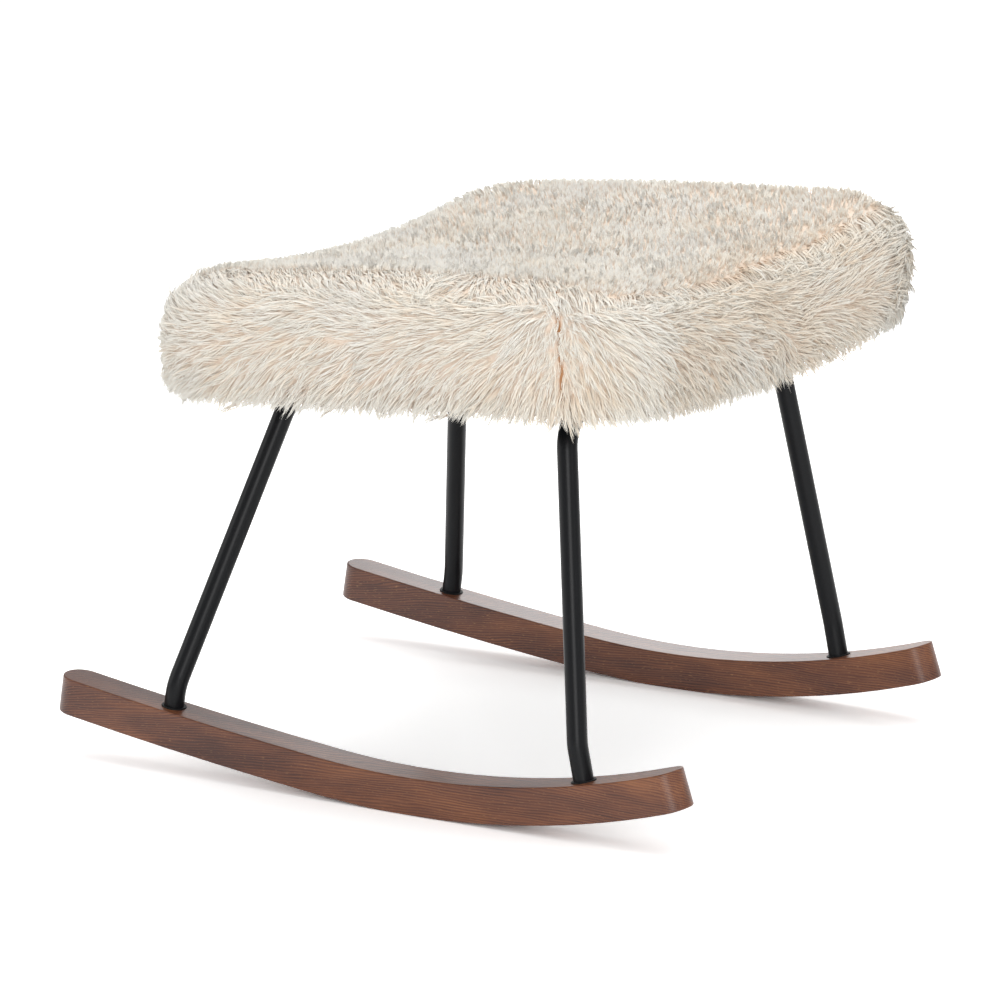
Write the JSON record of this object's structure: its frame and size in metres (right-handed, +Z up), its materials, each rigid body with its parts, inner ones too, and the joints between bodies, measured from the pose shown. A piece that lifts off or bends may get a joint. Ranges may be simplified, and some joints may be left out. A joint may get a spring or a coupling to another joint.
{
  "type": "rocking footstool",
  "caption": "Rocking footstool: a dished, fur-covered cushion on bent tube hoops that stand in curved wooden rockers.",
  "frame": {"origin": "on the floor, at the centre of the bounding box's bottom", "axes": "+Z up from the floor, +X along the rockers towards their more curved end, which is also the higher end of the seat, +Y across the stool to the far rocker"},
  "size_m": [0.5695, 0.548, 0.4291],
  "materials": {
    "walnut_stained_wood": "satin lacquer over a dark brown stain, grain along the length",
    "black_powder_coat": "satin black powder coat",
    "black_plastic": "moulded matt black",
    "zinc_plated_steel": "bright zinc plate",
    "long_sheepskin": "cream long-hair sheepskin, combed in locks",
    "polyester_wadding": "white carded wadding",
    "seat_foam": "cut foam",
    "birch_board": "moulded birch board",
    "black_dust_cloth": "spun-bonded black cloth"
  },
  "bodies": {
    "root": {"near_rocker": "walnut_stained_wood", "far_rocker": "walnut_stained_wood", "left_leg_hoop": "black_powder_coat", "right_leg_hoop": "black_powder_coat", "near_mounting_rail": "black_powder_coat", "far_mounting_rail": "black_powder_coat", "near_left_bush": "black_plastic", "near_right_bush": "black_plastic", "far_left_bush": "black_plastic", "far_right_bush": "black_plastic", "tube_end_plugs": "black_plastic", "rocker_washers": "zinc_plated_steel", "rocker_bolts": "zinc_plated_steel", "rail_washers": "zinc_plated_steel", "rail_screws": "zinc_plated_steel", "board_tee_nuts": "zinc_plated_steel", "cover_staples": "zinc_plated_steel", "fur_cover": "long_sheepskin", "wadding_layer": "polyester_wadding", "seat_foam": "seat_foam", "seat_board": "birch_board", "dust_cover": "black_dust_cloth"}
  },
  "joints": []
}
